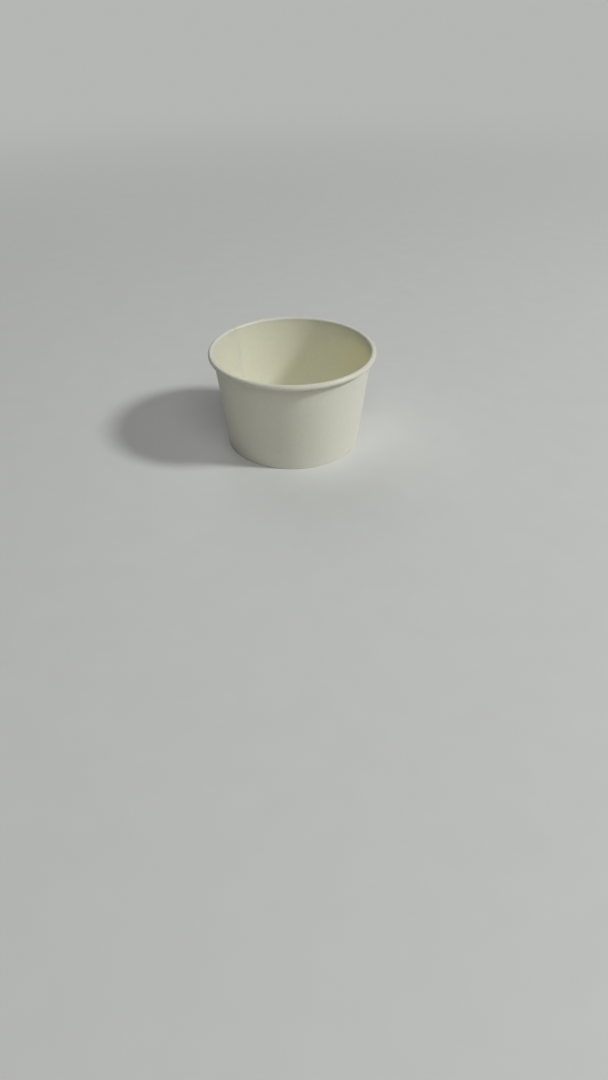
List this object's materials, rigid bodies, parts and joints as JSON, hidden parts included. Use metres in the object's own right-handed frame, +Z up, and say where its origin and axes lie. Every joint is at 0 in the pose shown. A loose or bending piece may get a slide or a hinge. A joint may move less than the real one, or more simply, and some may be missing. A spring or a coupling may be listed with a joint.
{
  "type": "paper sundae cup",
  "caption": "Round tapered paper cup for ice cream, with a rolled rim, a lapped side seam and a recessed bottom held in a folded base.",
  "frame": {"origin": "middle of the flat ring that the cup stands on", "axes": "+Z up along the cup's axis, +X to the right in the picture, +Y away from the picture's viewpoint"},
  "size_m": [0.09, 0.09, 0.053],
  "materials": {
    "side_wall_board": "coated ivory paperboard, soft satin",
    "bottom_board": "coated ivory paperboard, soft satin"
  },
  "bodies": {
    "root": {"side_wall": "side_wall_board", "bottom_disc": "bottom_board"}
  },
  "joints": []
}
